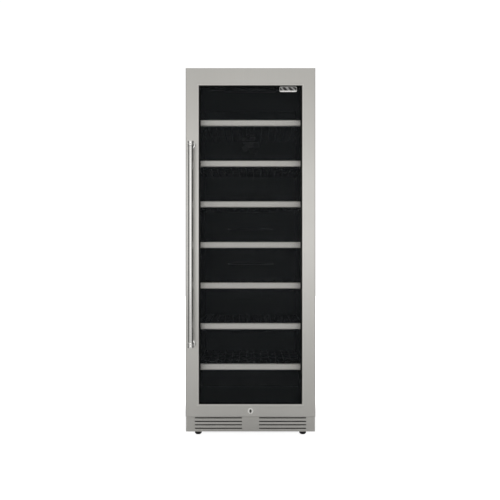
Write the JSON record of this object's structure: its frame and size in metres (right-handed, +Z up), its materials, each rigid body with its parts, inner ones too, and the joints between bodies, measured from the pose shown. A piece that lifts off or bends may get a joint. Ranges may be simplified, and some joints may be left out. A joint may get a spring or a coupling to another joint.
{
  "type": "wine cooler",
  "caption": "Full-height wine cooler with a hinged glass door in a stainless frame, sliding wire shelves, a tube handle and a kick grille.",
  "frame": {"origin": "bottom centre of the whole object's box, on the floor under the middle", "axes": "+Z up, +Y from the door to the back, +X to the right as seen from the front; the door faces -Y"},
  "size_m": [0.595, 0.746, 1.698],
  "materials": {
    "stainless_steel": "satin",
    "shelf_steel": "satin",
    "trim_steel": "satin",
    "polished_steel": "polished",
    "plated_steel": "satin",
    "cabinet_paint": "satin",
    "galvanised_sheet": "satin",
    "rail_steel": "satin",
    "rack_coating": "satin",
    "compressor_paint": "gloss",
    "liner_plastic": "matte",
    "insulation_foam": "matte",
    "coil_aluminium": "satin",
    "spacer_aluminium": "satin",
    "motor_housing": "matte",
    "control_plastic": "gloss",
    "lamp_diffuser": "matte",
    "copper_pipe": "satin",
    "frame_plastic": "matte",
    "door_glass": "gloss",
    "seal_rubber": "matte",
    "badge_metal": "satin",
    "bushing_nylon": "matte",
    "lock_metal": "satin",
    "fan_plastic": "matte",
    "foot_rubber": "matte"
  },
  "bodies": {
    "cabinet": {"side_panel_left": "cabinet_paint", "side_panel_right": "cabinet_paint", "top_panel": "cabinet_paint", "rear_panel": "galvanised_sheet", "base_pan": "galvanised_sheet", "inner_liner": "liner_plastic", "insulation_foam": "insulation_foam", "machine_bulkhead": "galvanised_sheet", "front_frame": "cabinet_paint", "plinth_grille": "stainless_steel", "hinge_bracket_top": "plated_steel", "hinge_bracket_bottom": "plated_steel", "cabinet_screws": "plated_steel", "shelf_rails": "rail_steel", "rear_air_duct": "liner_plastic", "evaporator": "coil_aluminium", "evaporator_fan_motor": "motor_housing", "control_housing": "control_plastic", "led_light_bar": "lamp_diffuser", "compressor": "compressor_paint", "condenser": "coil_aluminium", "condenser_fan_frame": "motor_housing", "refrigerant_tubes": "copper_pipe", "drain_tray": "motor_housing", "machine_cover": "galvanised_sheet", "power_inlet": "control_plastic"},
    "door": {"door_skin": "stainless_steel", "door_inner_frame": "frame_plastic", "glazing_trim": "trim_steel", "glass_outer": "door_glass", "glass_inner": "door_glass", "glass_spacer": "spacer_aluminium", "door_gasket": "seal_rubber", "handle_bar": "polished_steel", "handle_end_caps": "polished_steel", "handle_posts": "polished_steel", "badge_plate": "badge_metal", "lock_bezel": "polished_steel", "hinge_bushings": "bushing_nylon"},
    "lock_core": {"lock_core": "lock_metal"},
    "evaporator_fan": {"evaporator_fan": "fan_plastic"},
    "condenser_fan": {"condenser_fan": "fan_plastic"},
    "foot_front_left": {"foot_front_left": "foot_rubber"},
    "foot_front_right": {"foot_front_right": "foot_rubber"},
    "foot_rear_left": {"foot_rear_left": "foot_rubber"},
    "foot_rear_right": {"foot_rear_right": "foot_rubber"},
    "shelf_1": {"shelf_1_rack": "rack_coating", "shelf_1_trim": "shelf_steel"},
    "shelf_2": {"shelf_2_rack": "rack_coating", "shelf_2_trim": "shelf_steel"},
    "shelf_3": {"shelf_3_rack": "rack_coating", "shelf_3_trim": "shelf_steel"},
    "shelf_4": {"shelf_4_rack": "rack_coating", "shelf_4_trim": "shelf_steel"},
    "shelf_5": {"shelf_5_rack": "rack_coating", "shelf_5_trim": "shelf_steel"},
    "shelf_6": {"shelf_6_rack": "rack_coating", "shelf_6_trim": "shelf_steel"},
    "shelf_7": {"shelf_7_rack": "rack_coating", "shelf_7_trim": "shelf_steel"}
  },
  "joints": [
    {"name": "door_hinge", "type": "hinge", "parent": "cabinet", "child": "door", "pos_m": [0.2855, -0.289, 0.8], "axis": [0, 0, 1], "range_deg": [0, 110]},
    {"name": "lock_turn", "type": "hinge", "parent": "door", "child": "lock_core", "pos_m": [0, -0.307, 0.124], "axis": [0, 1, 0], "range_deg": [0, 90]},
    {"name": "evaporator_fan_spin", "type": "hinge", "parent": "cabinet", "child": "evaporator_fan", "pos_m": [0, 0.2961, 1.442], "axis": [0, 1, 0], "continuous": true},
    {"name": "condenser_fan_spin", "type": "hinge", "parent": "cabinet", "child": "condenser_fan", "pos_m": [0.093, 0.2556, 0.121], "axis": [1, 0, 0], "continuous": true},
    {"name": "foot_front_left_level", "type": "slide", "parent": "cabinet", "child": "foot_front_left", "axis": [0, 0, -1], "range_m": [0, 0.02]},
    {"name": "foot_front_right_level", "type": "slide", "parent": "cabinet", "child": "foot_front_right", "axis": [0, 0, -1], "range_m": [0, 0.02]},
    {"name": "foot_rear_left_level", "type": "slide", "parent": "cabinet", "child": "foot_rear_left", "axis": [0, 0, -1], "range_m": [0, 0.02]},
    {"name": "foot_rear_right_level", "type": "slide", "parent": "cabinet", "child": "foot_rear_right", "axis": [0, 0, -1], "range_m": [0, 0.02]},
    {"name": "shelf_1_slide", "type": "slide", "parent": "cabinet", "child": "shelf_1", "axis": [0, -1, 0], "range_m": [0, 0.016]},
    {"name": "shelf_2_slide", "type": "slide", "parent": "cabinet", "child": "shelf_2", "axis": [0, -1, 0], "range_m": [0, 0.016]},
    {"name": "shelf_3_slide", "type": "slide", "parent": "cabinet", "child": "shelf_3", "axis": [0, -1, 0], "range_m": [0, 0.016]},
    {"name": "shelf_4_slide", "type": "slide", "parent": "cabinet", "child": "shelf_4", "axis": [0, -1, 0], "range_m": [0, 0.016]},
    {"name": "shelf_5_slide", "type": "slide", "parent": "cabinet", "child": "shelf_5", "axis": [0, -1, 0], "range_m": [0, 0.016]},
    {"name": "shelf_6_slide", "type": "slide", "parent": "cabinet", "child": "shelf_6", "axis": [0, -1, 0], "range_m": [0, 0.016]},
    {"name": "shelf_7_slide", "type": "slide", "parent": "cabinet", "child": "shelf_7", "axis": [0, -1, 0], "range_m": [0, 0.016]}
  ]
}
